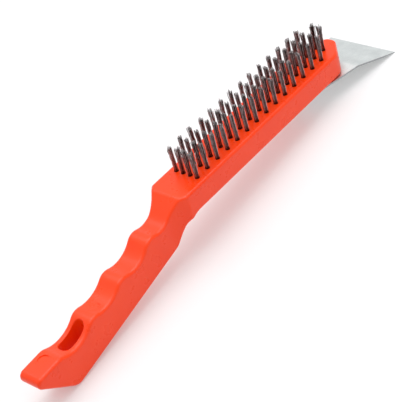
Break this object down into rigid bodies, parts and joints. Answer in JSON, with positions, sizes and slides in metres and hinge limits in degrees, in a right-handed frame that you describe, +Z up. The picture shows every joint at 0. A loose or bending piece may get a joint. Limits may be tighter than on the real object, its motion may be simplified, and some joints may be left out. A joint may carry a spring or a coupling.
{
  "type": "wire brush",
  "caption": "Hand wire brush: moulded plastic handle with finger grooves and a hang slot, staple-set steel wire tufts and a bent steel scraper blade at the nose.",
  "frame": {"origin": "on the surface it lies on, below the middle of its overall length and width", "axes": "+X along its length from the handle's tail to the scraper's edge, +Y across the head, +Z up, away from the surface, with the tufts up"},
  "size_m": [0.3044, 0.0484, 0.0564],
  "materials": {
    "handle_plastic": "satin injection-moulded polypropylene, orange-red",
    "blade_steel": "zinc-grey sheet steel, dull satin",
    "screw_steel": "zinc-plated",
    "tuft_wire": "dark drawn carbon-steel wire, oiled",
    "anchor_wire": "bright flat wire"
  },
  "bodies": {
    "root": {"handle_block": "handle_plastic", "scraper_blade": "blade_steel", "scraper_screws": "screw_steel", "tuft_column_01": "tuft_wire", "tuft_column_02": "tuft_wire", "tuft_column_03": "tuft_wire", "tuft_column_04": "tuft_wire", "tuft_column_05": "tuft_wire", "tuft_column_06": "tuft_wire", "tuft_column_07": "tuft_wire", "tuft_column_08": "tuft_wire", "tuft_column_09": "tuft_wire", "tuft_column_10": "tuft_wire", "tuft_column_11": "tuft_wire", "tuft_column_12": "tuft_wire", "tuft_column_13": "tuft_wire", "tuft_column_14": "tuft_wire", "tuft_column_15": "tuft_wire", "anchor_column_01": "anchor_wire", "anchor_column_02": "anchor_wire", "anchor_column_03": "anchor_wire", "anchor_column_04": "anchor_wire", "anchor_column_05": "anchor_wire", "anchor_column_06": "anchor_wire", "anchor_column_07": "anchor_wire", "anchor_column_08": "anchor_wire", "anchor_column_09": "anchor_wire", "anchor_column_10": "anchor_wire", "anchor_column_11": "anchor_wire", "anchor_column_12": "anchor_wire", "anchor_column_13": "anchor_wire", "anchor_column_14": "anchor_wire", "anchor_column_15": "anchor_wire"}
  },
  "joints": []
}
